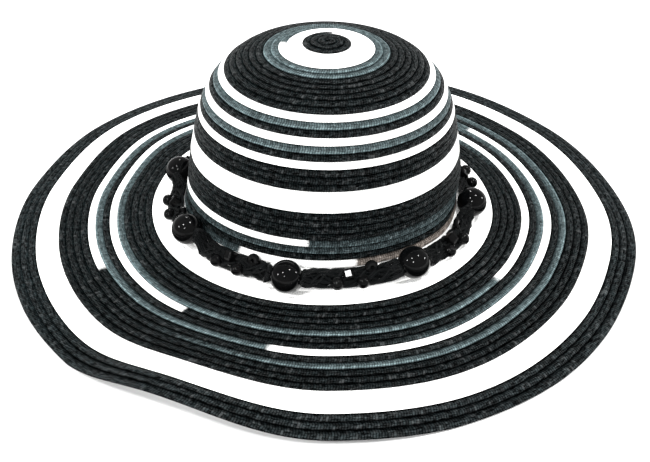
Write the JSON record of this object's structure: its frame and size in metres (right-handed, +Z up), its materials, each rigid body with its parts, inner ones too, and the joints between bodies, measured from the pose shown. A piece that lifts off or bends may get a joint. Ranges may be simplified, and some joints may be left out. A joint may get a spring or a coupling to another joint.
{
  "type": "floppy hat",
  "caption": "Wide-brimmed floppy sun hat of striped straw braid sewn in a spiral, with a soft domed crown and a string of black beads round its foot.",
  "frame": {"origin": "middle of the hat's bounding box, on the level that the rim rests on", "axes": "+Z up through the crown, -Y to the hat's front as shown, +X to the right seen from the front, along the brim's widest way"},
  "size_m": [0.4256, 0.4102, 0.1378],
  "materials": {
    "crown_straw": "dyed straw braid in black, grey and white rows, dull with a slight sheen",
    "brim_straw": "dyed straw braid in white, grey and black rows, dull with a slight sheen",
    "cord_and_small_beads": "black cord bundle with small polished round, faceted and disc beads",
    "bead_gloss": "polished black"
  },
  "bodies": {
    "root": {"crown": "crown_straw", "brim": "brim_straw", "bead_string": "cord_and_small_beads", "bead_1": "bead_gloss", "bead_2": "bead_gloss", "bead_3": "bead_gloss", "bead_4": "bead_gloss", "bead_5": "bead_gloss", "bead_6": "bead_gloss", "bead_7": "bead_gloss", "bead_8": "bead_gloss"}
  },
  "joints": []
}
